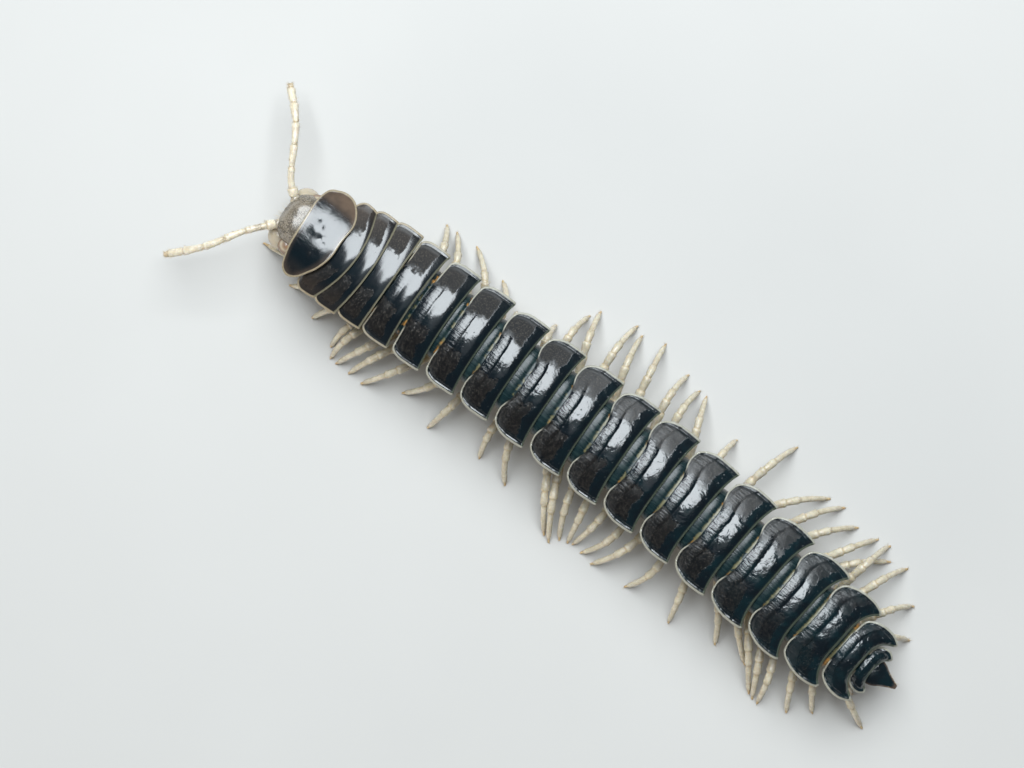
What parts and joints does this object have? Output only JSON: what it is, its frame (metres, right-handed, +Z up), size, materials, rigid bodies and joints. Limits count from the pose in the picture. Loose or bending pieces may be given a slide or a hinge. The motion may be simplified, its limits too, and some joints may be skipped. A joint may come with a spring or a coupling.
{
  "type": "parafontariine millipede model",
  "caption": "Still life-size flat-backed millipede with glossy dark ring plates, pale jointed legs and slender antennae, posed walking",
  "frame": {"origin": "middle of the animal's box, on the floor that its feet stand on", "axes": "+X toward the head, +Y toward the animal's left side, +Z up"},
  "size_m": [0.0542, 0.0154, 0.0058],
  "materials": {
    "plates": "glossy near-black blue plates with pale rims",
    "head": "translucent olive grey, glossy",
    "antennae": "cream, finely hairy",
    "legs": "translucent cream, satin"
  },
  "bodies": {
    "root": {"head": "head", "antenna_left": "antennae", "antenna_right": "antennae", "collum": "plates", "ring_02": "plates", "ring_03": "plates", "ring_04": "plates", "ring_05": "plates", "ring_06": "plates", "ring_07": "plates", "ring_08": "plates", "ring_09": "plates", "ring_10": "plates", "ring_11": "plates", "ring_12": "plates", "ring_13": "plates", "ring_14": "plates", "ring_15": "plates", "ring_16": "plates", "ring_17": "plates", "ring_18": "plates", "ring_19": "plates", "telson": "plates", "leg_02_left": "legs", "leg_02_right": "legs", "leg_03_left": "legs", "leg_03_right": "legs", "leg_04_left": "legs", "leg_04_right": "legs", "legs_05_left": "legs", "legs_05_right": "legs", "legs_06_left": "legs", "legs_06_right": "legs", "legs_07_left": "legs", "legs_07_right": "legs", "legs_08_left": "legs", "legs_08_right": "legs", "legs_09_left": "legs", "legs_09_right": "legs", "legs_10_left": "legs", "legs_10_right": "legs", "legs_11_left": "legs", "legs_11_right": "legs", "legs_12_left": "legs", "legs_12_right": "legs", "legs_13_left": "legs", "legs_13_right": "legs", "legs_14_left": "legs", "legs_14_right": "legs", "legs_15_left": "legs", "legs_15_right": "legs", "legs_16_left": "legs", "legs_16_right": "legs", "legs_17_left": "legs", "legs_17_right": "legs", "legs_18_left": "legs", "legs_18_right": "legs"}
  },
  "joints": []
}
